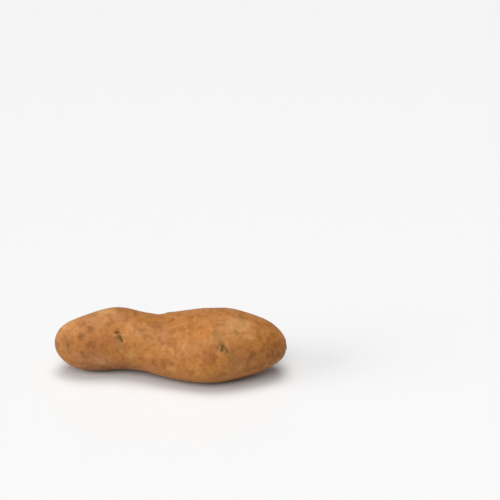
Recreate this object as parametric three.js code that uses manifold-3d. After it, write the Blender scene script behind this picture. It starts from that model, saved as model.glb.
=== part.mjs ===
// A whole fingerling potato: one long tuber with two lobes and a waist between them, lying on its side.
// Millimetres, +Z up, +X from the bud end to the stem end, origin on the surface that it lies on.
import * as THREE from "three";
import { mergeVertices } from "three/addons/utils/BufferGeometryUtils.js";
import Module from "manifold-3d";

// Driving dimensions, in millimetres, degrees and shares of the length.
const LENGTH = 115.4;
const END_BLUNTNESS = 2.4; // 2 is the end of an ellipsoid, and more is blunter
const REST_DEPTH = 0.4; // what the resting flats take off the underside
const AROUND_STEPS = 60;
const ALONG_STEPS = 84;

// Cross-sections from the bud end to the stem end. side and height place a section's middle, halfWidth and
// halfHeight are its girth before the ends taper it, and lean tips its back edge up.
const SECTIONS = [
  { along: 0.0, side: 3.0, height: 15.3, halfWidth: 19.5, halfHeight: 21.0, lean: 0 },
  { along: 0.12, side: 4.5, height: 14.9, halfWidth: 17.0, halfHeight: 20.4, lean: 3 },
  { along: 0.2, side: 5.6, height: 16.1, halfWidth: 15.7, halfHeight: 19.0, lean: 3 },
  { along: 0.28, side: 6.0, height: 16.9, halfWidth: 15.0, halfHeight: 16.7, lean: 3 },
  { along: 0.46, side: 3.5, height: 14.8, halfWidth: 18.0, halfHeight: 13.6, lean: 14 },
  { along: 0.66, side: -0.2, height: 16.2, halfWidth: 21.5, halfHeight: 16.3, lean: 20 },
  { along: 0.75, side: 0.0, height: 16.6, halfWidth: 22.2, halfHeight: 18.0, lean: 17 },
  { along: 0.84, side: 1.5, height: 16.0, halfWidth: 21.0, halfHeight: 19.0, lean: 12 },
  { along: 1.0, side: 0.5, height: 15.5, halfWidth: 20.0, halfHeight: 20.0, lean: 0 },
];

// Eyes on the front and the top. around runs from the back (0) over the top (90) to the front (180), turn
// slants the eye's upper end towards the bud end, span is its width and depth is how far it sinks.
const FRONT_EYES = [
  { along: 0.071, around: 157, turn: 0, span: 5.0, depth: 0.5 },
  { along: 0.186, around: 104, turn: 65, span: 5.5, depth: 0.25 },
  { along: 0.288, around: 150, turn: 32, span: 7.0, depth: 1.1 },
  { along: 0.514, around: 161, turn: 0, span: 3.0, depth: 0.3 },
  { along: 0.712, around: 75, turn: 0, span: 5.0, depth: 0.2 },
  { along: 0.728, around: 131, turn: 42, span: 8.0, depth: 1.2 },
];

// Eyes on the back and the underside are those of one spiral from the bud end that fall outside the front.
const EYE_SPIRAL = { count: 16, first: 0.07, step: 0.055, from: 157, span: 7.0, depth: 0.9 };
const FRONT = { from: 58, to: 248 };
const GOLDEN_TURN = 137.5;
const EYE_LENGTH_SHARE = 0.58; // an eye's length along the tuber, as a share of its span
const BROW_HEIGHT_SHARE = 0.25; // how far the brow stands up, as a share of the eye's depth
const STEM_SCAR = { span: 5.0, depth: 1.1 };

// Slow swellings of the skin. cycle is the distance from crest to crest along each axis.
const SWELLINGS = [
  { cycle: [34, 61, 47], height: 0.22, phase: 0.6 },
  { cycle: [-27, 38, 52], height: 0.16, phase: 2.1 },
  { cycle: [19, -33, 29], height: 0.09, phase: 4.4 },
];

const FIELDS = ["side", "height", "halfWidth", "halfHeight", "lean"];
const sections = new THREE.CubicInterpolant(
  SECTIONS.map((section) => section.along),
  SECTIONS.flatMap((section) => FIELDS.map((field) => section[field])),
  FIELDS.length,
);

// The point of the smooth tuber at a share of its length and an angle round it, in radians.
function skinPoint(along, around) {
  const [side, height, halfWidth, halfHeight, lean] = sections.evaluate(along);
  const taper = Math.sqrt(Math.max(0, 1 - Math.abs(2 * along - 1) ** END_BLUNTNESS));
  const across = new THREE.Vector2(halfWidth * Math.cos(around), halfHeight * Math.sin(around))
    .multiplyScalar(taper)
    .rotateAround(new THREE.Vector2(), THREE.MathUtils.degToRad(lean));
  return new THREE.Vector3(LENGTH * (along - 0.5), side + across.x, height + across.y);
}

// The smooth tuber: a sphere whose poles become the two ends.
function smoothTuber() {
  const sphere = new THREE.SphereGeometry(1, AROUND_STEPS, ALONG_STEPS);
  sphere.deleteAttribute("normal");
  sphere.deleteAttribute("uv");
  const tuber = mergeVertices(sphere);
  const positions = tuber.getAttribute("position");
  const direction = new THREE.Vector3();
  for (let i = 0; i < positions.count; i += 1) {
    direction.fromBufferAttribute(positions, i).normalize();
    const point = skinPoint((1 + direction.y) / 2, Math.atan2(direction.x, direction.z));
    positions.setXYZ(i, point.x, point.y, point.z);
  }
  tuber.computeVertexNormals();
  return tuber;
}

// An eye's centre on the smooth tuber, with the directions along and across it in the skin.
function placedEye({ along, around, turn, span, depth }) {
  const step = 0.002;
  const angle = THREE.MathUtils.degToRad(around);
  const centre = skinPoint(along, angle);
  const lengthwise = skinPoint(along + step, angle).sub(skinPoint(along - step, angle)).normalize();
  const crosswise = skinPoint(along, angle + step).sub(skinPoint(along, angle - step)).normalize();
  const outward = new THREE.Vector3().crossVectors(crosswise, lengthwise).normalize();
  crosswise.crossVectors(lengthwise, outward);
  for (const direction of [lengthwise, crosswise]) {
    direction.applyAxisAngle(outward, THREE.MathUtils.degToRad(turn));
  }
  return { centre, lengthwise, crosswise, span, depth };
}

// The eyes of the back and the underside, each a golden angle on from the last.
function backEyes() {
  const spiral = Array.from({ length: EYE_SPIRAL.count }, (_, index) => ({
    along: EYE_SPIRAL.first + EYE_SPIRAL.step * index,
    around: (EYE_SPIRAL.from + GOLDEN_TURN * index) % 360,
    turn: 0,
    span: EYE_SPIRAL.span,
    depth: EYE_SPIRAL.depth,
  }));
  return spiral.filter(({ around }) => around < FRONT.from || around > FRONT.to);
}

const bell = (distance, width) => Math.exp(-((distance / width) ** 2));

// The relief of one eye at a point: a crescent hollow, with a low brow on the side of the stem end.
function eyeRelief(point, eye) {
  const offset = point.clone().sub(eye.centre);
  if (offset.length() > 1.5 * eye.span) return 0;
  const halfSpan = eye.span / 2;
  const halfLength = halfSpan * EYE_LENGTH_SHARE;
  const across = offset.dot(eye.crosswise);
  const bow = 0.12 * (across ** 2 / halfSpan);
  const lengthwise = offset.dot(eye.lengthwise) + bow;
  const hollow = bell(lengthwise, halfLength) * bell(across, halfSpan);
  const brow = bell(lengthwise - 1.9 * halfLength, halfLength) * bell(across, halfSpan);
  return eye.depth * (BROW_HEIGHT_SHARE * brow - hollow);
}

// The sunk scar at the stem end, where the tuber broke off its runner.
function stemScarRelief(point) {
  const tip = skinPoint(1, 0);
  return -STEM_SCAR.depth * bell(point.distanceTo(tip), STEM_SCAR.span / 2);
}

function swelling(point, { cycle, height, phase }) {
  const turns = point.x / cycle[0] + point.y / cycle[1] + point.z / cycle[2];
  return height * Math.sin(2 * Math.PI * turns + phase);
}

// Raises and sinks the smooth tuber's skin by its swellings, eyes and stem scar.
function addRelief(tuber) {
  const eyes = [...FRONT_EYES, ...backEyes()].map(placedEye);
  const positions = tuber.getAttribute("position");
  const normals = tuber.getAttribute("normal");
  const point = new THREE.Vector3();
  const normal = new THREE.Vector3();
  for (let i = 0; i < positions.count; i += 1) {
    point.fromBufferAttribute(positions, i);
    normal.fromBufferAttribute(normals, i);
    const swellings = SWELLINGS.reduce((sum, wave) => sum + swelling(point, wave), 0);
    const sunk = eyes.reduce((sum, eye) => sum + eyeRelief(point, eye), stemScarRelief(point));
    point.addScaledVector(normal, swellings + sunk);
    positions.setXYZ(i, point.x, point.y, point.z);
  }
}

// Sets the tuber on the surface with its bounding box centred over the origin, sunk by the resting depth.
function settle(tuber) {
  tuber.computeBoundingBox();
  const { min, max } = tuber.boundingBox;
  tuber.translate(-(min.x + max.x) / 2, -(min.y + max.y) / 2, -min.z - REST_DEPTH);
}

const wasm = await Module();
wasm.setup();

function toSolid(geometry) {
  const closed = geometry.clone();
  closed.deleteAttribute("normal");
  closed.deleteAttribute("uv");
  const merged = mergeVertices(closed);
  const vertProperties = new Float32Array(merged.getAttribute("position").array);
  const triVerts = new Uint32Array(merged.index.array);
  return new wasm.Manifold(new wasm.Mesh({ numProp: 3, vertProperties, triVerts }));
}

function toGeometry(solid) {
  const { vertProperties, triVerts } = solid.getMesh();
  const geometry = new THREE.BufferGeometry();
  geometry.setAttribute("position", new THREE.BufferAttribute(vertProperties, 3));
  geometry.setIndex(new THREE.BufferAttribute(triVerts, 1));
  geometry.computeVertexNormals();
  return geometry;
}

// Trims the underside to small flats on the surface z = 0.
function trimUnderside(tuber) {
  const slabDepth = 10;
  const slab = new THREE.BoxGeometry(2 * LENGTH, LENGTH, slabDepth).translate(0, 0, -slabDepth / 2);
  return toGeometry(toSolid(tuber).subtract(toSolid(slab)));
}

function buildTuber() {
  const tuber = smoothTuber();
  addRelief(tuber);
  settle(tuber);
  const skin = new THREE.MeshStandardMaterial({ color: 0xc2864c, roughness: 0.72, metalness: 0 });
  const mesh = new THREE.Mesh(trimUnderside(tuber), skin);
  mesh.name = "tuber";
  return mesh;
}

const potato = new THREE.Group();
potato.add(buildTuber());

export default potato;
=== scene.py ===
"""A whole fingerling potato, dressed round its CAD solid and laid on a pale studio floor.

Lengths in the classes are millimetres, in the CAD's own frame: +X runs from the bud end to the stem end,
+Y to the back and +Z up. Blender itself works in metres.
"""

import logging
import math
import random
from dataclasses import dataclass
from enum import Enum

import bmesh
import bpy
import numpy as np
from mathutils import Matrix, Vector
from mathutils.kdtree import KDTree


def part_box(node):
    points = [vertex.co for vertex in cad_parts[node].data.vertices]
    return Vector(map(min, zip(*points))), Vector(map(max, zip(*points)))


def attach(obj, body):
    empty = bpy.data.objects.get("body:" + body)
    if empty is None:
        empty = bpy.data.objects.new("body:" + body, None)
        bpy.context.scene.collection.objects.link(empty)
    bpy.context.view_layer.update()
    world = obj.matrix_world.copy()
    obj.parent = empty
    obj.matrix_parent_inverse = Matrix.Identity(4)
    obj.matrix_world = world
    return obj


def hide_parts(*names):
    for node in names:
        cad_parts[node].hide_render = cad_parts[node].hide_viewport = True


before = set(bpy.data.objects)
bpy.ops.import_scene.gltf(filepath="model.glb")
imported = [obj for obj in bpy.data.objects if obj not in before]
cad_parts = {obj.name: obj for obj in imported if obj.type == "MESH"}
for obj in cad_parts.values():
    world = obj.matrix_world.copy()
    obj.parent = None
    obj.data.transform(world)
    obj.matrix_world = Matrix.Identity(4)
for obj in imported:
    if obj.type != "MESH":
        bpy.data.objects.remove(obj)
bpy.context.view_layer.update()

MM = 0.001
LOG = logging.getLogger("fingerling_potato")

Point = tuple[float, float, float]
NodeInput = bpy.types.NodeSocket | float | tuple[float, ...]


def linear(hex_colour: str) -> tuple[float, float, float, float]:
    """Turns an sRGB hex colour into the linear colour that shaders take.

    Args:
        hex_colour: a colour such as "#c88c50".

    Returns:
        Linear red, green and blue, and an alpha of 1.
    """
    channels = [int(hex_colour[i : i + 2], 16) / 255 for i in (1, 3, 5)]
    red, green, blue = (c / 12.92 if c <= 0.04045 else ((c + 0.055) / 1.055) ** 2.4 for c in channels)
    return red, green, blue, 1.0


def add_node(
    tree: bpy.types.NodeTree,
    kind: str,
    inputs: dict[int | str, NodeInput] | None = None,
    **settings: object,
) -> bpy.types.Node:
    """Adds a node with its settings, its constants and the links into it.

    Args:
        tree: the node tree it goes into.
        kind: the node's type name.
        inputs: what each input socket holds, a constant or another node's output.
        **settings: the node's own properties.

    Returns:
        The new node.
    """
    node = tree.nodes.new(kind)
    for name, value in settings.items():
        setattr(node, name, value)
    for key, value in (inputs or {}).items():
        if isinstance(value, bpy.types.NodeSocket):
            tree.links.new(value, node.inputs[key])
        else:
            node.inputs[key].default_value = value
    return node


def select_only(piece: bpy.types.Object) -> None:
    """Makes one object the only selected one, and the active one.

    Args:
        piece: the object.
    """
    bpy.ops.object.select_all(action="DESELECT")
    piece.select_set(True)
    bpy.context.view_layer.objects.active = piece


def apply_modifier(piece: bpy.types.Object, kind: str, **settings: object) -> None:
    """Adds a modifier to a piece and applies it.

    Args:
        piece: the mesh object.
        kind: the modifier's type name.
        **settings: the modifier's own properties.
    """
    modifier = piece.modifiers.new(kind.lower(), kind)
    for name, value in settings.items():
        setattr(modifier, name, value)
    select_only(piece)
    bpy.ops.object.modifier_apply(modifier=modifier.name)


def vertex_array(mesh: bpy.types.Mesh) -> np.ndarray:
    """Reads a mesh's vertices.

    Args:
        mesh: the mesh.

    Returns:
        One row of x, y and z in millimetres for each vertex.
    """
    flat = np.empty(3 * len(mesh.vertices), np.float32)
    mesh.vertices.foreach_get("co", flat)
    return flat.reshape(-1, 3).astype(float) / MM


def normal_array(mesh: bpy.types.Mesh) -> np.ndarray:
    """Reads a mesh's vertex normals.

    Args:
        mesh: the mesh.

    Returns:
        One unit row for each vertex.
    """
    flat = np.empty(3 * len(mesh.vertices), np.float32)
    mesh.vertex_normals.foreach_get("vector", flat)
    return flat.reshape(-1, 3).astype(float)


def bell(distance: np.ndarray, width: np.ndarray | float) -> np.ndarray:
    """The height at each distance of a smooth hump that is 1 in the middle and falls to 1/e at the width."""
    return np.exp(-((distance / width) ** 2))


def spot(points: np.ndarray, place: Point, reach: float) -> np.ndarray:
    """Says how strongly a soft round spot in the skin covers each vertex, from 0 to 1."""
    return bell(np.linalg.norm(points - np.array(place), axis=1), reach)


def stem_tip(points: np.ndarray) -> int:
    """Finds the vertex that lies furthest towards the stem end."""
    return int(np.argmax(points[:, 0]))


class Mask(Enum):
    """A mask held by the mesh, with the name of its attribute."""

    LENTICELS = "lenticels"
    SCUFFS = "scuffs"
    EYE_BEDS = "eye_beds"
    # eye mounds painted paler: partly paler bud and brow, partly painted highlight
    EYE_MOUNDS_PALE_AND_LIT = "eye_mounds_pale_and_lit"
    # painted shade in the eyes' creases
    EYE_CREASE_SHADE = "eye_crease_shade"
    SCAR_CORK = "scar_cork"
    SCAR_PIT = "scar_pit"


class Tone(Enum):
    """The tone of a patch of skin, with the name of the mesh's attribute that masks it."""

    # brown spots, and painted shade under the bud-end lobe and over the stem end
    BROWN = "brown_and_shade_patches"
    DUSTY = "dusty_patches"
    GOLDEN = "golden_patches"
    # paler skin, and painted highlight and sheen along the top
    PALE_AND_HIGHLIGHT = "pale_and_highlight_patches"
    ROSY = "rosy_patches"


@dataclass(frozen=True)
class Stroke:
    """A soft stroke in an eye, which thins towards its second end.

    Attributes:
        ends: its first and second end, each as millimetres towards the stem end and across.
        width: how wide it is at its first end.
        relief: how deep it is cut, or how far it stands up.
        taper: the share of its width that it loses by its second end.
    """

    ends: tuple[float, float, float, float]
    width: float
    relief: float
    taper: float

    def cover(self, stemward: np.ndarray, upward: np.ndarray) -> np.ndarray:
        """Says how strongly the stroke covers each point, from 0 to 1.

        Args:
            stemward: how far each point lies towards the stem end.
            upward: how far it lies across that.

        Returns:
            The cover at each point.
        """
        first = np.array(self.ends[:2])
        run = np.array(self.ends[2:]) - first
        offsets = np.stack((stemward, upward), axis=1) - first
        share = np.clip(offsets @ run / (run @ run), 0.0, 1.0)
        width = self.width * (1.0 - self.taper * share)
        return bell(np.linalg.norm(offsets - share[:, None] * run, axis=1), width)


@dataclass(frozen=True)
class Fold(Stroke):
    """A crease in an eye."""

    taper: float = 0.5


@dataclass(frozen=True)
class Mound(Stroke):
    """A raised spot in an eye: the bud itself, one of its scales or the brow's ridge."""

    taper: float = 0.2


@dataclass(frozen=True)
class EyeShape:
    """The relief of one kind of eye.

    Attributes:
        hollow: how far its bed sinks.
        reach: how wide the bed is.
        folds: its creases.
        mounds: its raised spots.
    """

    hollow: float
    reach: float
    folds: tuple[Fold, ...]
    mounds: tuple[Mound, ...]


class EyeForm(Enum):
    """How an eye has grown."""

    FOLDED = EyeShape(
        hollow=0.20,
        reach=2.4,
        folds=(
            Fold((-0.9, 2.5, -1.6, 2.3), 1.15, 0.60, 0.2),
            Fold((-0.9, 2.2, 0.2, 0.2), 0.90, 0.40, 0.4),
            Fold((1.1, -1.8, 0.1, 0.4), 0.90, 0.60, 0.4),
        ),
        mounds=(
            Mound((1.8, 2.8, 2.2, 0.6), 1.30, 0.46),
            Mound((-2.0, 1.0, -1.2, 0.4), 0.85, 0.50),
            Mound((2.6, -0.6, 2.8, -2.4), 1.10, 0.28),
            Mound((-1.0, -1.6, -0.4, -2.6), 0.90, 0.22),
        ),
    )
    BUDDED = EyeShape(
        hollow=0.40,
        reach=2.8,
        folds=(
            Fold((-1.9, 0.3, -1.7, -0.5), 0.50, 0.30),
            Fold((0.3, 1.2, 0.1, -1.1), 0.95, 0.55, 0.3),
            Fold((0.9, 0.3, 3.0, -2.0), 0.85, 0.48, 0.4),
        ),
        mounds=(
            Mound((-1.0, 0.6, -1.1, -0.4), 0.56, 0.34),
            Mound((1.0, -1.2, 1.2, -1.8), 0.50, 0.30),
            Mound((2.4, 1.4, 3.8, -1.2), 1.10, 0.22),
            Mound((-2.2, 1.8, -1.6, 2.2), 0.80, 0.20),
        ),
    )
    BROWED = EyeShape(
        hollow=0.45,
        reach=2.6,
        folds=(
            Fold((0.5, 0.4, 0.0, 1.8), 0.62, 0.60, 0.4),
            Fold((0.0, 1.8, -1.4, 3.1), 0.40, 0.35, 0.7),
            Fold((0.5, 0.4, 0.2, -1.6), 0.62, 0.60, 0.4),
            Fold((0.2, -1.6, -1.0, -2.9), 0.40, 0.35, 0.7),
        ),
        mounds=(
            Mound((1.7, 0.3, 0.9, 2.4), 0.95, 0.38, 0.4),
            Mound((1.7, 0.3, 1.0, -2.2), 0.95, 0.38, 0.4),
            Mound((-0.8, 0.2, -0.4, 0.2), 0.65, 0.60),
            Mound((-1.3, -1.0, -0.9, -0.9), 0.45, 0.30),
        ),
    )
    FAINT = EyeShape(
        hollow=0.14,
        reach=1.9,
        folds=(Fold((0.0, 0.2, -0.2, 1.7), 0.52, 0.34), Fold((0.0, 0.2, 0.1, -1.6), 0.52, 0.34)),
        mounds=(Mound((1.2, 0.9, 1.2, -0.9), 0.80, 0.15),),
    )
    DOTTED = EyeShape(
        hollow=0.06,
        reach=1.4,
        folds=(
            Fold((-1.0, -0.3, -0.6, 0.7), 0.36, 0.20),
            Fold((-0.5, 0.8, 0.6, 0.7), 0.36, 0.20),
            Fold((0.8, 0.5, 0.9, -0.4), 0.36, 0.20),
        ),
        mounds=(Mound((-0.1, 0.0, 0.1, 0.0), 0.60, 0.20),),
    )


@dataclass(frozen=True)
class Eye:
    """One eye of the tuber.

    Attributes:
        place: a point on or near the skin.
        form: how the eye has grown.
        size: its size beside the form's own.
        slant: degrees by which its upper end leans towards the bud end.
        span: how far round an eye of size 1 its relief is worked out.
        mound_pale_and_lit_paint: how strongly its mounds are painted paler for each millimetre of their
            height, partly as painted highlight.
        crease_shade_paint: how strongly painted shade darkens its creases for each millimetre of their
            depth.
    """

    place: Point
    form: EyeForm
    size: float = 1.0
    slant: float = 0.0
    span: float = 8.0
    mound_pale_and_lit_paint: float = 3.0
    crease_shade_paint: float = 1.5

    def carve(
        self,
        points: np.ndarray,
        normals: np.ndarray,
        relief: np.ndarray,
        masks: dict[Mask | Tone, np.ndarray],
    ) -> None:
        """Adds the eye to the skin's relief and masks.

        Args:
            points: the skin's vertices.
            normals: the skin's vertex normals.
            relief: the skin's relief so far, which the eye's is added to.
            masks: the skin's masks so far, which the eye's are added to.
        """
        near, stemward, upward = self._local(points, normals)
        shape = self.form.value
        bed = bell(np.hypot(stemward, upward), shape.reach)
        mounds = np.zeros(len(near))
        creases = np.zeros(len(near))
        relief[near] -= shape.hollow * self.size * bed
        for mound in shape.mounds:
            cover = mound.cover(stemward, upward)
            relief[near] += mound.relief * self.size * cover
            # mounds painted paler by height: partly paler bud and brow, partly painted highlight on the
            # raised parts
            mounds = np.maximum(mounds, min(1.0, self.mound_pale_and_lit_paint * mound.relief) * cover)
        for fold in shape.folds:
            creases = np.maximum(creases, fold.relief * fold.cover(stemward, upward))
        relief[near] -= self.size * creases
        painted = {
            Mask.EYE_BEDS: bed,
            Mask.EYE_MOUNDS_PALE_AND_LIT: mounds,
            # the crease mask is painted shade, darker the deeper the crease
            Mask.EYE_CREASE_SHADE: np.minimum(1.0, self.crease_shade_paint * creases),
        }
        for mask, cover in painted.items():
            masks[mask][near] = np.maximum(masks[mask][near], cover)

    def _local(self, points: np.ndarray, normals: np.ndarray) -> tuple[np.ndarray, np.ndarray, np.ndarray]:
        """Finds the skin round the eye, in the eye's own directions.

        Args:
            points: the skin's vertices.
            normals: the skin's vertex normals.

        Returns:
            The indices of the vertices near the eye, and how far each lies towards the stem end and across.
        """
        centre = points[int(np.argmin(np.linalg.norm(points - np.array(self.place), axis=1)))]
        near = np.flatnonzero(np.linalg.norm(points - centre, axis=1) < self.span * self.size)
        outward = normals[near].mean(axis=0)
        outward /= np.linalg.norm(outward)
        lengthwise = np.array((1.0, 0.0, 0.0)) - outward[0] * outward
        lengthwise /= np.linalg.norm(lengthwise)
        crosswise = np.cross(outward, lengthwise)
        turn = math.radians(self.slant)
        offsets = (points[near] - centre) / self.size
        stemward = offsets @ (math.cos(turn) * lengthwise + math.sin(turn) * crosswise)
        upward = offsets @ (math.cos(turn) * crosswise - math.sin(turn) * lengthwise)
        return near, stemward, upward


@dataclass(frozen=True)
class Lenticels:
    """The breathing pores of the skin, scattered so that no two lie close together.

    Attributes:
        spacing: how far apart they are.
        spacing_range: the least and the greatest share of the spacing that one takes up.
        radius: how wide the largest are.
        radius_range: the least and the greatest share of the radius that one has.
        height: how far they stand up.
        seed: sets their places.
    """

    spacing: float = 4.6
    spacing_range: tuple[float, float] = (0.8, 1.5)
    radius: float = 0.55
    radius_range: tuple[float, float] = (0.6, 1.0)
    height: float = 0.09
    seed: int = 7

    def cover(self, points: np.ndarray) -> np.ndarray:
        """Scatters the pores.

        Args:
            points: the skin's vertices.

        Returns:
            How strongly a pore covers each vertex, from 0 to 1.
        """
        draw = random.Random(self.seed)
        tree = KDTree(len(points))
        for index, point in enumerate(points):
            tree.insert(point, index)
        tree.balance()
        cover = np.zeros(len(points))
        free = np.ones(len(points), bool)
        for index in draw.sample(range(len(points)), len(points)):
            if not free[index]:
                continue
            spacing = self.spacing * draw.uniform(*self.spacing_range)
            radius = self.radius * draw.uniform(*self.radius_range)
            for _, other, distance in tree.find_range(points[index], spacing):
                free[other] = False
                cover[other] = max(cover[other], math.exp(-((distance / radius) ** 2)))
        return cover


@dataclass(frozen=True)
class Scuff:
    """A rubbed streak in the skin.

    Attributes:
        start: one end, on or near the skin.
        end: the other end.
        width: how wide the streak is.
    """

    start: Point
    end: Point
    width: float

    def cover(self, points: np.ndarray) -> np.ndarray:
        """Says how strongly the streak covers each point, from 0 to 1.

        Args:
            points: the skin's vertices.

        Returns:
            The cover at each vertex.
        """
        start = np.array(self.start)
        run = np.array(self.end) - start
        share = np.clip((points - start) @ run / (run @ run), 0.0, 1.0)
        return bell(np.linalg.norm(points - start - share[:, None] * run, axis=1), self.width)


@dataclass(frozen=True)
class StemScar:
    """The corky scar where the tuber broke off its runner: a dish with an uneven rim and a stub in it.

    Attributes:
        radius: how far out the rim stands.
        wobble: the shares by which the rim wanders in and out, three and five times round.
        wobble_phase: turns the first of the two, in radians.
        rim_height: how far the rim stands up.
        rim_width: its width, as a share of the radius.
        dish_depth: how far the dish sinks.
        dish_width: its width, as a share of the radius.
        stub_radius: the radius of what is left of the runner.
        stub_height: how far that stands up in the dish.
        cork_width: how far the cork's colour reaches, as a share of the radius.
        pit_place: where the dark ring in the dish is, as a share of the radius.
        pit_width: its width, as a share of the radius.
    """

    radius: float = 2.3
    wobble: tuple[float, float] = (0.16, 0.09)
    wobble_phase: float = 1.1
    rim_height: float = 0.50
    rim_width: float = 0.24
    dish_depth: float = 1.00
    dish_width: float = 0.72
    stub_radius: float = 0.65
    stub_height: float = 0.70
    cork_width: float = 1.05
    pit_place: float = 0.5
    pit_width: float = 0.30

    def shape(self, points: np.ndarray) -> tuple[np.ndarray, np.ndarray, np.ndarray]:
        """Works out the scar's relief, its cork and its dark pit, round the vertex furthest stemward.

        Args:
            points: the skin's vertices.

        Returns:
            How far each vertex moves outwards, and how strongly cork and pit cover it, from 0 to 1.
        """
        offsets = points - points[stem_tip(points)]
        distance = np.linalg.norm(offsets, axis=1)
        around = np.arctan2(offsets[:, 2], offsets[:, 1])
        slow = self.wobble[0] * np.sin(3 * around + self.wobble_phase)
        quick = self.wobble[1] * np.sin(5 * around)
        share = distance / (self.radius * (1.0 + slow + quick))
        rim = self.rim_height * bell(share - 1.0, self.rim_width)
        dish = self.dish_depth * bell(share, self.dish_width)
        stub = self.stub_height * bell(distance, self.stub_radius)
        cork = bell(share, self.cork_width)
        pit = bell(share - self.pit_place, self.pit_width)
        return rim - dish + stub, cork, pit


@dataclass(frozen=True)
class Swelling:
    """A soft round swelling of the skin, or a hollow if its height is below zero.

    Attributes:
        place: its middle, on or near the skin.
        reach: how far it spreads.
        height: how far it stands out in the middle.
    """

    place: Point
    reach: float
    height: float

    def relief(self, points: np.ndarray) -> np.ndarray:
        """Says how far the swelling raises each vertex of the skin."""
        return self.height * spot(points, self.place, self.reach)


@dataclass(frozen=True)
class Patch:
    """A soft round patch where the skin has another tone.

    Attributes:
        tone: its tone.
        place: its middle, on or near the skin.
        reach: how far it spreads.
        strength: how strong it is in the middle.
    """

    tone: Tone
    place: Point
    reach: float
    strength: float

    def cover(self, points: np.ndarray) -> np.ndarray:
        """Says how strongly the patch covers each vertex of the skin."""
        return self.strength * spot(points, self.place, self.reach)


class Pattern(Enum):
    """What a tint of the skin follows."""

    CLOUD = "soft cloudy noise"
    SPECK = "dots scattered one to a cell"
    PAINTED = "a mask held by the mesh"


@dataclass(frozen=True)
class Tint:
    """One layer of colour in the skin.

    Attributes:
        colour: its sRGB colour.
        pattern: what it follows.
        size: the size of the pattern, or of the ragged edge of a painted mask.
        start: the pattern's value where the tint begins.
        full: the pattern's value where it is full.
        strength: its share where it is full.
        roughness: how rough skin of this tint is.
        mask: the mask of the mesh that a painted tint follows.
        ragged: how far noise frays a painted mask.
    """

    colour: str
    pattern: Pattern
    size: float
    start: float
    full: float
    strength: float
    roughness: float = 0.56
    mask: Mask | Tone | None = None
    ragged: float = 0.0


@dataclass(frozen=True)
class Bump:
    """Unevenness of the skin that is too fine for the mesh.

    Attributes:
        size: how far apart its rises are.
        depth: how high they are.
        detail: how many layers of finer noise it has.
    """

    size: float
    depth: float
    detail: float


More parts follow.
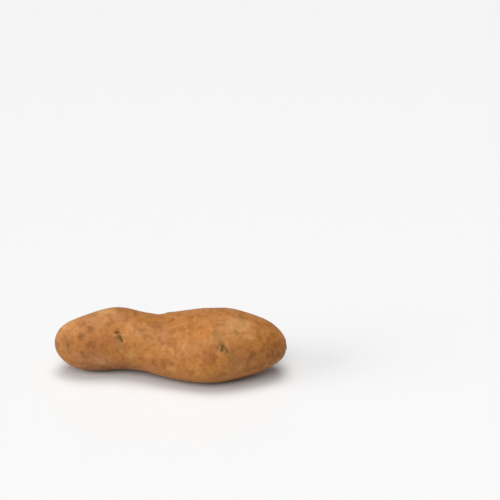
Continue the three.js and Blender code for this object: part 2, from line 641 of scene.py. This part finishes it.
@dataclass(frozen=True)
class PotatoSkin:
    """Thin corky potato skin, washed: ochre with soft mottling, tiny dark specks and a faint satin gloss.

    The cork is a skin of dead cells that scatters light at its surface, so it has a low, broad highlight,
    and colours that change softly over a few millimetres. Its eye beds and rubbed streaks are darker and
    greyer, the creases of its eyes carry painted shade, and its eye mounds are painted paler, partly as
    painted highlight. Its pale patches are partly painted highlight and sheen, and its brown patches are
    partly painted shade. The cork's own grain is too fine to show, so the smaller of the bumps stands for
    it, coarser.

    Attributes:
        name: the material's name.
        ground: the sRGB colour under the tints.
        ground_roughness: how rough the skin is under the tints.
        ior: the refractive index of its surface.
        specular: how strongly its surface reflects, where 0.5 is what the index alone gives.
        noise_step: how far each tint's noise is moved from that of the one before.
        bumps: its unevenness, coarse to fine.
        tints: the layers of colour, from the lowest up.
    """

    name: str = "potato_skin_washed"
    ground: str = "#9c652e"
    ground_roughness: float = 0.54
    ior: float = 1.45
    specular: float = 0.28
    noise_step: Point = (37.0, 11.0, 23.0)
    bumps: tuple[Bump, ...] = (Bump(3.2, 0.06, 3.0), Bump(0.9, 0.035, 4.0))
    tints: tuple[Tint, ...] = (
        Tint("#a56c2e", Pattern.CLOUD, 19.0, 0.42, 0.66, 0.50),
        Tint("#8f5a36", Pattern.CLOUD, 12.0, 0.48, 0.70, 0.45),
        Tint("#a17053", Pattern.PAINTED, 4.0, 0.10, 0.95, 0.50, 0.56, Tone.DUSTY, 1.0),
        Tint("#a4611a", Pattern.PAINTED, 3.0, 0.15, 0.95, 0.70, 0.54, Tone.GOLDEN, 1.8),
        Tint("#7c4813", Pattern.CLOUD, 5.0, 0.47, 0.66, 0.62, 0.60),
        Tint("#b37e47", Pattern.CLOUD, 3.6, 0.50, 0.72, 0.46),
        Tint("#7e4914", Pattern.CLOUD, 2.2, 0.50, 0.70, 0.58),
        Tint("#7a4719", Pattern.CLOUD, 1.1, 0.50, 0.78, 0.42, 0.62),
        # pale patches: partly paler skin, partly painted highlight and sheen
        Tint("#b98a58", Pattern.PAINTED, 2.6, 0.12, 0.95, 0.48, 0.50, Tone.PALE_AND_HIGHLIGHT, 1.6),
        Tint("#95542e", Pattern.PAINTED, 2.0, 0.15, 0.95, 0.60, 0.56, Tone.ROSY, 2.2),
        # brown patches: partly brown skin, partly painted shade
        Tint("#6f3d10", Pattern.PAINTED, 2.2, 0.15, 0.95, 0.70, 0.58, Tone.BROWN, 1.6),
        Tint("#7b5b2c", Pattern.PAINTED, 1.4, 0.10, 1.05, 0.62, 0.66, Mask.SCUFFS, 1.1),
        Tint("#9b794a", Pattern.PAINTED, 0.8, 0.35, 0.90, 0.35, 0.60, Mask.LENTICELS, 0.2),
        Tint("#5b3518", Pattern.SPECK, 2.7, 0.84, 0.96, 0.40, 0.70),
        Tint("#77592a", Pattern.PAINTED, 1.2, 0.15, 1.00, 0.60, 0.66, Mask.EYE_BEDS, 0.6),
        # eye mounds painted paler: partly paler bud and brow, partly painted highlight
        Tint("#aa7752", Pattern.PAINTED, 1.2, 0.30, 1.00, 0.28, 0.54, Mask.EYE_MOUNDS_PALE_AND_LIT, 0.3),
        # painted shade in the eyes' creases
        Tint("#52300d", Pattern.PAINTED, 0.7, 0.20, 1.00, 0.74, 0.80, Mask.EYE_CREASE_SHADE, 0.3),
        Tint("#916a3a", Pattern.PAINTED, 0.9, 0.15, 0.90, 0.60, 0.80, Mask.SCAR_CORK, 0.6),
        Tint("#553512", Pattern.PAINTED, 0.6, 0.20, 1.00, 0.78, 0.85, Mask.SCAR_PIT, 0.6),
    )

    def build(self) -> bpy.types.Material:
        """Makes the material.

        Returns:
            The skin's material, which reads Object coordinates and the masks of the mesh.
        """
        material = bpy.data.materials.new(self.name)
        material.use_nodes = True
        tree = material.node_tree
        tree.nodes.clear()
        place = add_node(tree, "ShaderNodeTexCoord").outputs["Object"]
        scaled = add_node(tree, "ShaderNodeVectorMath", {0: place, "Scale": 1 / MM}, operation="SCALE")
        millimetres = scaled.outputs[0]
        colour, roughness = self._tinted(tree, millimetres)
        shader = add_node(
            tree,
            "ShaderNodeBsdfPrincipled",
            {
                "Base Color": colour,
                "Roughness": roughness,
                "IOR": self.ior,
                "Specular IOR Level": self.specular,
                "Normal": self._relief(tree, millimetres),
            },
        )
        add_node(tree, "ShaderNodeOutputMaterial", {"Surface": shader.outputs["BSDF"]})
        return material

    def _tinted(
        self, tree: bpy.types.NodeTree, millimetres: bpy.types.NodeSocket
    ) -> tuple[bpy.types.NodeSocket, bpy.types.NodeSocket]:
        """Lays the tints over the ground colour, one after another.

        Args:
            tree: the material's node tree.
            millimetres: the place on the skin.

        Returns:
            The sockets that give the colour and the roughness.
        """
        colour: NodeInput = linear(self.ground)
        roughness: NodeInput = self.ground_roughness
        for index, tint in enumerate(self.tints):
            amount = self._amount(tree, millimetres, tint, index)
            colour = add_node(
                tree, "ShaderNodeMix", {0: amount, 6: colour, 7: linear(tint.colour)}, data_type="RGBA"
            ).outputs[2]
            roughness = add_node(
                tree, "ShaderNodeMix", {0: amount, 2: roughness, 3: tint.roughness}, data_type="FLOAT"
            ).outputs[0]
        return colour, roughness

    def _amount(
        self, tree: bpy.types.NodeTree, millimetres: bpy.types.NodeSocket, tint: Tint, index: int
    ) -> bpy.types.NodeSocket:
        """Works out how much of one tint shows at each place.

        Args:
            tree: the material's node tree.
            millimetres: the place on the skin.
            tint: the tint.
            index: its number in the order, which moves its noise clear of the others.

        Returns:
            The socket that gives the tint's share.
        """
        step = tuple(index * part for part in self.noise_step)
        moved = add_node(tree, "ShaderNodeVectorMath", {0: millimetres, 1: step}).outputs[0]
        if tint.pattern is Pattern.SPECK:
            cells = add_node(
                tree, "ShaderNodeTexVoronoi", {"Vector": moved, "Scale": 1 / tint.size, "Randomness": 1.0}
            )
            value = add_node(
                tree, "ShaderNodeMath", {0: 1.0, 1: cells.outputs["Distance"]}, operation="SUBTRACT"
            ).outputs[0]
        else:
            value = add_node(
                tree,
                "ShaderNodeTexNoise",
                {"Vector": moved, "Scale": 1 / tint.size, "Detail": 4.0, "Roughness": 0.55},
            ).outputs["Fac"]
        if tint.pattern is Pattern.PAINTED:
            mask = add_node(tree, "ShaderNodeAttribute", attribute_name=tint.mask.value).outputs["Fac"]
            frayed = add_node(
                tree,
                "ShaderNodeMath",
                {0: value, 1: tint.ragged, 2: -0.5 * tint.ragged},
                operation="MULTIPLY_ADD",
            ).outputs[0]
            value = add_node(tree, "ShaderNodeMath", {0: mask, 1: frayed}, operation="ADD").outputs[0]
        return add_node(
            tree,
            "ShaderNodeMapRange",
            {"Value": value, "From Min": tint.start, "From Max": tint.full, "To Max": tint.strength},
            interpolation_type="SMOOTHSTEP",
        ).outputs["Result"]

    def _relief(self, tree: bpy.types.NodeTree, millimetres: bpy.types.NodeSocket) -> bpy.types.NodeSocket:
        """Makes the skin's finest unevenness.

        Args:
            tree: the material's node tree.
            millimetres: the place on the skin.

        Returns:
            The socket that gives the surface direction.
        """
        normal = None
        for bump in self.bumps:
            noise = {"Vector": millimetres, "Scale": 1 / bump.size, "Detail": bump.detail}
            height = add_node(tree, "ShaderNodeTexNoise", noise).outputs["Fac"]
            inputs = {"Height": height, "Distance": bump.depth * MM}
            if normal is not None:
                inputs["Normal"] = normal
            normal = add_node(tree, "ShaderNodeBump", inputs).outputs["Normal"]
        return normal


@dataclass
class Tuber:
    """The tuber's visible skin, one closed mesh that follows the CAD solid.

    Attributes:
        node: the CAD node that it stands for.
        cell: the size of the first mesh's cells, which are halved by each level of subdivision.
        relax_rounds: how often the first mesh is evened out and laid back on the solid.
        polish: the pair of smoothing factors that take off the solid's facets and keep its size.
        polish_rounds: how often that pair is used.
        fine_reach: how far round an eye of size 1 the cells are halved.
        fine_margin: how much further they are halved.
        least_relief: the smallest relief that is modelled.
        lumps: size and height of the unevenness that the mesh itself has, coarse to fine.
        lenticels: the breathing pores.
        scar: the scar at the stem end.
        swellings: where the skin swells a little past the solid or sinks a little into it.
        eyes: the eyes, those of the front first.
        scuffs: the rubbed streaks.
        patches: the patches of another tone, from the bud end to the stem end; some pale ones are painted
            highlight and sheen, and some brown ones painted shade.
    """

    node: str = "tuber"
    cell: float = 4.6
    relax_rounds: int = 5
    polish: tuple[float, float] = (0.6, -0.62)
    polish_rounds: int = 6
    fine_reach: float = 4.0
    fine_margin: float = 1.0
    least_relief: float = 0.0005
    lumps: tuple[tuple[float, float], ...] = ((9.0, 0.30), (3.4, 0.10))
    lenticels: Lenticels = Lenticels()
    scar: StemScar = StemScar()
    swellings: tuple[Swelling, ...] = (
        Swelling((-54.5, 0.5, 20.5), 11.0, 0.8),
        Swelling((19.5, -16.0, 3.0), 6.0, -0.5),
        Swelling((43.0, -14.0, 17.0), 10.0, 1.1),
        Swelling((54.5, -6.0, 13.0), 7.0, 0.6),
    )
    eyes: tuple[Eye, ...] = (
        Eye((-24.2, -6.1, 22.9), EyeForm.FOLDED),
        Eye((26.2, -17.0, 22.7), EyeForm.BUDDED),
        Eye((-37.4, 3.8, 30.8), EyeForm.FAINT, 1.2, 80.0),
        Eye((-49.6, -5.2, 17.8), EyeForm.FAINT, 0.9, 5.0),
        Eye((-53.7, 1.4, 22.6), EyeForm.FAINT, 0.7),
        Eye((2.0, -16.6, 13.9), EyeForm.DOTTED),
        Eye((24.8, 0.1, 32.2), EyeForm.DOTTED, 1.1),
        Eye((-43.1, 10.1, 2.1), EyeForm.FAINT, 1.2, 10.0),
        Eye((-24.1, 19.8, 13.9), EyeForm.BROWED, 1.1, -12.0),
        Eye((-11.4, 4.8, 1.0), EyeForm.FAINT, 1.3),
        Eye((-5.1, 14.9, 26.3), EyeForm.BROWED, 0.9, 16.0),
        Eye((7.6, 17.8, 10.0), EyeForm.FOLDED, 1.1, -5.0),
        Eye((26.7, 18.4, 24.2), EyeForm.BROWED, 1.0, 8.0),
        Eye((39.4, 7.8, 2.4), EyeForm.FAINT, 1.3, 15.0),
    )
    scuffs: tuple[Scuff, ...] = (
        Scuff((22.5, -12.0, 28.5), (30.0, -18.0, 19.0), 2.4),
        Scuff((-25.0, -6.0, 22.5), (-24.5, -7.8, 18.5), 1.6),
        Scuff((-49.8, -4.4, 20.0), (-49.4, -6.0, 15.5), 1.4),
    )
    patches: tuple[Patch, ...] = (
        Patch(Tone.BROWN, (-54.5, -2.0, 16.5), 4.5, 0.5),
        Patch(Tone.DUSTY, (-53.0, 0.0, 18.0), 10.0, 0.4),
        # painted sheen along the top edge near the bud end
        Patch(Tone.PALE_AND_HIGHLIGHT, (-50.5, 2.0, 25.5), 5.0, 1.0),
        Patch(Tone.BROWN, (-48.5, -5.5, 20.5), 3.0, 0.6),
        Patch(Tone.ROSY, (-45.0, -6.5, 20.5), 4.0, 0.6),
        Patch(Tone.BROWN, (-43.5, -5.5, 23.5), 2.4, 0.75),
        Patch(Tone.BROWN, (-42.5, -8.0, 15.0), 2.6, 0.35),
        Patch(Tone.ROSY, (-42.0, -8.0, 14.0), 4.0, 0.5),
        Patch(Tone.DUSTY, (-40.0, 8.0, 30.0), 12.0, 0.9),
        # painted shade under the bud-end lobe
        Patch(Tone.BROWN, (-40.0, -3.5, 5.0), 5.0, 0.6),
        Patch(Tone.DUSTY, (-39.0, -4.0, 8.0), 12.0, 0.9),
        Patch(Tone.BROWN, (-39.0, -3.5, 27.0), 2.6, 0.7),
        Patch(Tone.BROWN, (-38.5, -7.5, 19.5), 2.8, 0.8),
        Patch(Tone.ROSY, (-37.0, -6.5, 22.5), 4.5, 0.7),
        Patch(Tone.PALE_AND_HIGHLIGHT, (-34.5, -7.0, 10.0), 4.0, 0.6),
        # painted sheen along the top edge of the bud-end lobe
        Patch(Tone.PALE_AND_HIGHLIGHT, (-33.0, 4.5, 32.0), 5.0, 1.1),
        Patch(Tone.BROWN, (-32.5, -7.5, 20.0), 2.4, 0.6),
        # painted shade under the bud-end lobe
        Patch(Tone.BROWN, (-32.0, -3.5, 4.5), 5.5, 0.8),
        # painted sheen along the top edge of the bud-end lobe
        Patch(Tone.PALE_AND_HIGHLIGHT, (-30.0, 3.5, 32.5), 4.0, 0.8),
        Patch(Tone.ROSY, (-28.5, -6.5, 21.5), 4.0, 0.9),
        Patch(Tone.ROSY, (-28.5, -7.5, 13.0), 4.0, 0.5),
        Patch(Tone.ROSY, (-28.0, 0.0, 31.0), 3.0, 0.6),
        Patch(Tone.PALE_AND_HIGHLIGHT, (-25.0, 2.0, 31.5), 4.0, 0.3),
        # painted shade under the bud-end lobe
        Patch(Tone.BROWN, (-24.0, -4.0, 5.0), 5.0, 0.7),
        Patch(Tone.ROSY, (-23.5, -8.0, 11.5), 4.0, 0.5),
        Patch(Tone.BROWN, (-21.0, 0.5, 30.5), 3.0, 0.5),
        Patch(Tone.GOLDEN, (-20.5, -1.5, 29.5), 5.0, 0.5),
        Patch(Tone.PALE_AND_HIGHLIGHT, (-18.0, -5.5, 27.0), 4.0, 0.5),
        Patch(Tone.PALE_AND_HIGHLIGHT, (-18.0, -10.0, 16.0), 4.0, 0.5),
        Patch(Tone.PALE_AND_HIGHLIGHT, (-12.5, -8.5, 23.5), 5.0, 0.4),
        Patch(Tone.GOLDEN, (-9.0, -12.0, 19.0), 7.0, 0.6),
        Patch(Tone.PALE_AND_HIGHLIGHT, (-9.0, -12.0, 17.0), 4.0, 0.3),
        Patch(Tone.BROWN, (-7.0, -13.5, 14.0), 3.2, 0.55),
        Patch(Tone.BROWN, (-4.5, -9.0, 23.5), 2.0, 0.7),
        Patch(Tone.BROWN, (-2.5, -15.5, 12.5), 2.6, 0.6),
        Patch(Tone.PALE_AND_HIGHLIGHT, (-1.5, -12.0, 20.0), 4.0, 0.4),
        Patch(Tone.PALE_AND_HIGHLIGHT, (1.5, -16.5, 11.0), 4.0, 0.4),
        Patch(Tone.GOLDEN, (13.0, -19.5, 14.0), 8.0, 0.5),
        Patch(Tone.PALE_AND_HIGHLIGHT, (14.5, -20.0, 12.0), 5.0, 0.5),
        Patch(Tone.ROSY, (17.5, -19.0, 18.0), 4.0, 0.6),
        Patch(Tone.BROWN, (17.5, -18.5, 20.0), 3.4, 0.7),
        Patch(Tone.GOLDEN, (19.0, -10.5, 29.0), 6.0, 0.8),
        Patch(Tone.GOLDEN, (20.5, -18.0, 21.5), 6.0, 0.7),
        Patch(Tone.BROWN, (21.5, -19.0, 19.5), 3.2, 1.0),
        Patch(Tone.GOLDEN, (26.0, -20.5, 17.0), 6.0, 0.6),
        Patch(Tone.BROWN, (28.5, -18.0, 21.5), 3.0, 0.8),
        Patch(Tone.BROWN, (33.5, -11.0, 28.0), 2.4, 0.6),
        # painted highlight on top of the stem-end lobe
        Patch(Tone.PALE_AND_HIGHLIGHT, (34.0, -6.0, 30.5), 6.0, 1.2),
        Patch(Tone.PALE_AND_HIGHLIGHT, (34.5, -17.5, 13.5), 4.0, 0.5),
        Patch(Tone.BROWN, (35.0, -15.5, 22.0), 2.8, 0.5),
        # painted highlight, beside the one above
        Patch(Tone.PALE_AND_HIGHLIGHT, (38.0, -11.0, 26.0), 4.0, 0.6),
        Patch(Tone.BROWN, (40.5, -14.0, 18.0), 3.4, 0.8),
        Patch(Tone.BROWN, (43.5, -12.5, 11.5), 4.5, 0.6),
        # painted shade over the stem end
        Patch(Tone.BROWN, (50.0, -8.0, 17.0), 9.0, 0.75),
    )

    def build(self) -> bpy.types.Object:
        """Models the skin.

        Returns:
            The skin's object, at the origin, unturned and unscaled.
        """
        solid = self._merged_solid()
        skin = self._blocked_out()
        self._laid_on(skin, solid)
        apply_modifier(skin, "SUBSURF", levels=2, render_levels=2)
        apply_modifier(skin, "SHRINKWRAP", target=solid, wrap_method="NEAREST_SURFACEPOINT")
        for factor in self.polish_rounds * self.polish:
            apply_modifier(skin, "SMOOTH", factor=factor, iterations=1)
        bpy.data.objects.remove(solid)
        self._refined(skin)
        apply_modifier(skin, "SUBSURF", levels=1, render_levels=1)
        self._lumped(skin)
        self._marked(skin)
        self._set_down(skin)
        select_only(skin)
        bpy.ops.object.shade_smooth()
        return skin

    def dress(self, skin: bpy.types.Object, finish: PotatoSkin) -> None:
        """Gives the skin its material and its place in the frame.

        Args:
            skin: the skin's object.
            finish: the skin's finish.
        """
        skin.data.materials.append(finish.build())
        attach(skin, "root")
        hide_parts(self.node)

    def _merged_solid(self) -> bpy.types.Object:
        """Copies the CAD solid and joins its loose triangles.

        Returns:
            The copy, which the skin is laid on.
        """
        select_only(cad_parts[self.node])
        bpy.ops.object.duplicate()
        solid = bpy.context.object
        bpy.ops.object.mode_set(mode="EDIT")
        bpy.ops.mesh.select_all(action="SELECT")
        bpy.ops.mesh.remove_doubles(threshold=0.001 * MM)
        bpy.ops.object.mode_set(mode="OBJECT")
        return solid

    def _blocked_out(self) -> bpy.types.Object:
        """Makes an egg of even square cells that fills the solid's box.

        Returns:
            The egg's object.
        """
        low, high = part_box(self.node)
        bpy.ops.object.select_all(action="DESELECT")
        bpy.ops.mesh.primitive_cube_add(size=2.0)
        skin = bpy.context.object
        skin.name = "potato_skin"
        skin.data.name = "potato_skin"
        bpy.ops.object.mode_set(mode="EDIT")
        bpy.ops.mesh.select_mode(type="EDGE")
        for axis in range(3):
            self._select_edges_along(skin, axis)
            cuts = round((high[axis] - low[axis]) / (self.cell * MM)) - 1
            bpy.ops.mesh.subdivide(number_cuts=cuts)
        bpy.ops.object.mode_set(mode="OBJECT")
        apply_modifier(skin, "CAST", cast_type="SPHERE", factor=1.0, use_radius_as_size=False, size=1.0)
        bpy.ops.object.mode_set(mode="EDIT")
        bpy.ops.mesh.select_all(action="SELECT")
        bpy.ops.transform.resize(value=(high - low) / 2, center_override=(0, 0, 0))
        bpy.ops.transform.translate(value=(high + low) / 2)
        bpy.ops.object.mode_set(mode="OBJECT")
        return skin

    @staticmethod
    def _select_edges_along(skin: bpy.types.Object, axis: int) -> None:
        """Selects the edges of a squared block that run along one axis, in edit mode.

        Args:
            skin: the object being edited.
            axis: 0, 1 or 2 for X, Y or Z.
        """
        editing = bmesh.from_edit_mesh(skin.data)
        for edge in editing.edges:
            run = [abs(part) for part in edge.verts[1].co - edge.verts[0].co]
            edge.select_set(run[axis] == max(run))
        bmesh.update_edit_mesh(skin.data)

    def _laid_on(self, skin: bpy.types.Object, solid: bpy.types.Object) -> None:
        """Draws the egg in onto the solid and evens out its cells.

        Args:
            skin: the egg.
            solid: the merged CAD solid.
        """
        for _ in range(self.relax_rounds):
            apply_modifier(skin, "SHRINKWRAP", target=solid, wrap_method="NEAREST_SURFACEPOINT")
            apply_modifier(skin, "SMOOTH", factor=0.5, iterations=6)
        apply_modifier(skin, "SHRINKWRAP", target=solid, wrap_method="NEAREST_SURFACEPOINT")

    def _refined(self, skin: bpy.types.Object) -> None:
        """Halves the cells round each eye, and twice round the stem scar, to give their folds enough points.

        Args:
            skin: the skin's object.
        """
        points = vertex_array(skin.data)
        stem_end = (points[stem_tip(points)], self.scar.radius + 2 * self.fine_margin)
        eyes = [(np.array(eye.place), self.fine_reach * eye.size + self.fine_margin) for eye in self.eyes]
        self._halve_cells(skin, [*eyes, stem_end])
        self._halve_cells(skin, [stem_end])

    @staticmethod
    def _halve_cells(skin: bpy.types.Object, places: list[tuple[np.ndarray, float]]) -> None:
        """Halves the cells round some places.

        Args:
            skin: the skin's object.
            places: the middle of each place, and how far it reaches.
        """
        points = vertex_array(skin.data)
        near = np.zeros(len(points), bool)
        for middle, reach in places:
            near |= np.linalg.norm(points - middle, axis=1) < reach
        select_only(skin)
        bpy.ops.object.mode_set(mode="EDIT")
        bpy.ops.mesh.select_mode(type="FACE")
        bpy.ops.mesh.select_all(action="DESELECT")
        editing = bmesh.from_edit_mesh(skin.data)
        for face in editing.faces:
            face.select_set(all(near[vertex.index] for vertex in face.verts))
        bmesh.update_edit_mesh(skin.data)
        bpy.ops.mesh.subdivide(number_cuts=1)
        bpy.ops.object.mode_set(mode="OBJECT")

    def _lumped(self, skin: bpy.types.Object) -> None:
        """Raises and sinks the skin a little all over.

        Args:
            skin: the skin's object.
        """
        for size, height in self.lumps:
            clouds = bpy.data.textures.new(f"lumps_{size:g}_mm", "CLOUDS")
            clouds.noise_scale = size * MM
            clouds.noise_depth = 2
            apply_modifier(
                skin,
                "DISPLACE",
                texture=clouds,
                texture_coords="LOCAL",
                strength=height * MM,
                mid_level=0.5,
            )

    def _marked(self, skin: bpy.types.Object) -> None:
        """Models the eyes, pores, stem scar and swellings, and paints the masks that the finish reads.

        Args:
            skin: the skin's object.
        """
        points = vertex_array(skin.data)
        normals = normal_array(skin.data)
        relief = np.zeros(len(points))
        eye_masks = (Mask.EYE_BEDS, Mask.EYE_MOUNDS_PALE_AND_LIT, Mask.EYE_CREASE_SHADE)
        masks = {mask: np.zeros(len(points)) for mask in eye_masks}
        for eye in self.eyes:
            eye.carve(points, normals, relief, masks)
        masks[Mask.LENTICELS] = self.lenticels.cover(points)
        relief += self.lenticels.height * masks[Mask.LENTICELS]
        scar_relief, masks[Mask.SCAR_CORK], masks[Mask.SCAR_PIT] = self.scar.shape(points)
        relief += scar_relief
        for swelling in self.swellings:
            relief += swelling.relief(points)
        masks[Mask.SCUFFS] = np.max([scuff.cover(points) for scuff in self.scuffs], axis=0)
        for tone in Tone:
            covers = [patch.cover(points) for patch in self.patches if patch.tone is tone]
            masks[tone] = np.max(covers, axis=0)
        self._displace(skin, relief)
        for mask, cover in masks.items():
            attribute = skin.data.attributes.new(mask.value, "FLOAT", "POINT")
            attribute.data.foreach_set("value", cover.astype(np.float32))

    def _displace(self, skin: bpy.types.Object, relief: np.ndarray) -> None:
        """Raises and sinks the skin by a relief, as two displacements under painted weights.

        Args:
            skin: the skin's object.
            relief: how far each vertex moves outwards.
        """
        for name, heights, sign in (("raised", relief, 1.0), ("sunk", -relief, -1.0)):
            most = float(heights.max())
            group = skin.vertex_groups.new(name=name)
            for index in np.flatnonzero(heights > self.least_relief):
                group.add([int(index)], heights[index] / most, "REPLACE")
            apply_modifier(
                skin,
                "DISPLACE",
                vertex_group=name,
                strength=sign * most * MM,
                mid_level=0.0,
                direction="NORMAL",
            )
        skin.vertex_groups.clear()

    @staticmethod
    def _set_down(skin: bpy.types.Object) -> None:
        """Flattens what the relief pushed below the surface that the tuber lies on.

        Args:
            skin: the skin's object.
        """
        select_only(skin)
        bpy.ops.object.mode_set(mode="EDIT")
        bpy.ops.mesh.select_mode(type="VERT")
        bpy.ops.mesh.select_all(action="DESELECT")
        editing = bmesh.from_edit_mesh(skin.data)
        for vertex in editing.verts:
            vertex.select_set(vertex.co.z < 0.0)
        bmesh.update_edit_mesh(skin.data)
        bpy.ops.transform.resize(value=(1, 1, 0), center_override=(0, 0, 0))
        bpy.ops.object.mode_set(mode="OBJECT")


@dataclass(frozen=True)
class WhiteTabletop:
    """Satin white acrylic sheet, which softens the lamps' mirror images into an even glow.

    Attributes:
        name: the material's name.
        colour: its sRGB colour.
        roughness: how rough its surface is.
        ior: the refractive index of its surface.
    """

    name: str = "acrylic_white_satin"
    colour: str = "#d1d1d1"
    roughness: float = 0.45
    ior: float = 1.49

    def build(self) -> bpy.types.Material:
        """Makes the material.

        Returns:
            The tabletop's material.
        """
        material = bpy.data.materials.new(self.name)
        material.use_nodes = True
        tree = material.node_tree
        tree.nodes.clear()
        shader = add_node(
            tree,
            "ShaderNodeBsdfPrincipled",
            {"Base Color": linear(self.colour), "Roughness": self.roughness, "IOR": self.ior},
        )
        add_node(tree, "ShaderNodeOutputMaterial", {"Surface": shader.outputs["BSDF"]})
        return material


@dataclass(frozen=True)
class Softbox:
    """A wide soft lamp, far enough away to light everything alike.

    Attributes:
        name: what the lamp is called.
        front: degrees by which it leans from overhead to the front.
        left: degrees by which it leans to the left.
        spread: how wide it looks from the tabletop, in degrees.
        power: how strongly it lights a surface that faces it, in watts per square metre.
    """

    name: str
    front: float
    left: float
    spread: float
    power: float

    def build(self) -> None:
        """Makes the lamp."""
        turn = (math.radians(self.front), -math.radians(self.left), 0)
        bpy.ops.object.light_add(type="SUN", rotation=turn)
        lamp = bpy.context.object
        lamp.name = self.name
        lamp.data.angle = math.radians(self.spread)
        lamp.data.energy = self.power


@dataclass
class Studio:
    """A pale tabletop under soft light, and the camera.

    Attributes:
        floor_radius: how far the tabletop runs.
        floor_sides: how many sides its edge has.
        camera_place: where the camera stands.
        camera_pitch: degrees by which it looks down.
        lens: its focal length, on a sensor 36 mm wide.
        sky: how bright the room is overhead.
        wall: how bright its walls are down at the horizon.
        wall_height: the sine of the angle above the horizon where the walls end.
        softboxes: the lamps.
    """

    floor_radius: float = 4000.0
    floor_sides: int = 96
    camera_place: Point = (39.6, -610.6, 339.2)
    camera_pitch: float = 24.0
    lens: float = 100.0
    sky: float = 0.17
    wall: float = 0.85
    wall_height: float = 0.42
    softboxes: tuple[Softbox, ...] = (
        Softbox("overhead_softbox", front=-4.0, left=0.0, spread=40.0, power=2.4),
        Softbox("front_softbox", front=38.0, left=6.0, spread=36.0, power=1.5),
        Softbox("left_softbox", front=16.0, left=70.0, spread=40.0, power=2.0),
    )

    def build(self) -> None:
        """Makes the tabletop, the light and the camera."""
        self._floor()
        self._light()
        self._camera()
        bpy.context.scene.view_settings.view_transform = "Standard"

    def _floor(self) -> None:
        """Lays the tabletop."""
        bpy.ops.object.select_all(action="DESELECT")
        radius = self.floor_radius * MM
        bpy.ops.mesh.primitive_circle_add(vertices=self.floor_sides, radius=radius, fill_type="NGON")
        floor = bpy.context.object
        floor.name = "tabletop"
        floor.data.materials.append(WhiteTabletop().build())

    def _light(self) -> None:
        """Lights the room faintly from its walls, and more strongly from the lamps."""
        world = bpy.data.worlds.new("studio")
        world.use_nodes = True
        tree = world.node_tree
        direction = add_node(tree, "ShaderNodeTexCoord").outputs["Generated"]
        height = add_node(tree, "ShaderNodeSeparateXYZ", {0: direction}).outputs["Z"]
        strength = add_node(
            tree,
            "ShaderNodeMapRange",
            {"Value": height, "From Max": self.wall_height, "To Min": self.wall, "To Max": self.sky},
            interpolation_type="SMOOTHSTEP",
        ).outputs["Result"]
        tree.links.new(strength, tree.nodes["Background"].inputs["Strength"])
        tree.nodes["Background"].inputs["Color"].default_value = linear("#ffffff")
        bpy.context.scene.world = world
        for softbox in self.softboxes:
            softbox.build()

    def _camera(self) -> None:
        """Sets up the camera."""
        bpy.ops.object.camera_add(
            location=Vector(self.camera_place) * MM, rotation=(math.radians(90 - self.camera_pitch), 0, 0)
        )
        camera = bpy.context.object
        camera.data.lens = self.lens
        bpy.context.scene.camera = camera


def main() -> None:
    """Builds the potato and its studio."""
    logging.basicConfig(level=logging.INFO, format="%(name)s: %(message)s")
    tuber = Tuber()
    skin = tuber.build()
    tuber.dress(skin, PotatoSkin())
    LOG.info("%s: %d faces", skin.name, len(skin.data.polygons))
    Studio().build()
    LOG.info("studio built")


if __name__ == "__main__":
    main()
